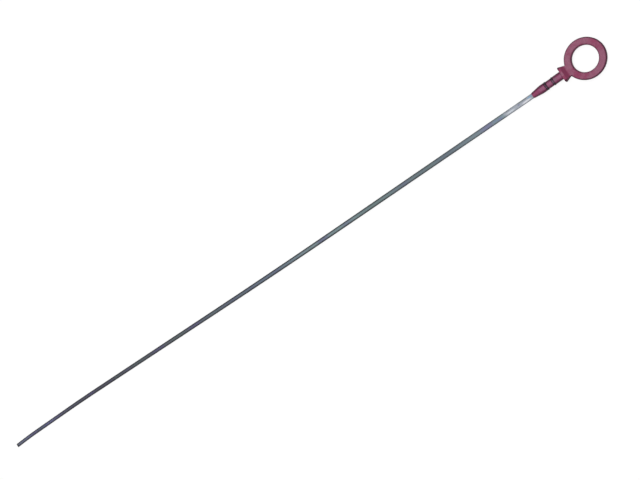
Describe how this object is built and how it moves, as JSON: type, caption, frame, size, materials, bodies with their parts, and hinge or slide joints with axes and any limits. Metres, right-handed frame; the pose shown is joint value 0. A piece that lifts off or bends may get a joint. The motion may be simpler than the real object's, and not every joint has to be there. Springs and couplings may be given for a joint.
{
  "type": "engine oil dipstick",
  "caption": "Long flat steel oil dipstick with a moulded finger-ring handle, stop collar, sealing neck with rubber rings, and stamped level marks.",
  "frame": {"origin": "centre of the collar's seat face, on the handle's axis", "axes": "+X along the handle towards the finger ring, the blade's tip towards -X, +Z square to the ring's flat faces"},
  "size_m": [0.8494, 0.0352, 0.008],
  "materials": {
    "red_plastic": "moulded, satin",
    "black_rubber": "moulded rubber, oiled",
    "blade_steel": "rolled strip, used"
  },
  "bodies": {
    "root": {"handle": "red_plastic", "upper_o_ring": "black_rubber", "lower_o_ring": "black_rubber", "blade": "blade_steel"}
  },
  "joints": []
}
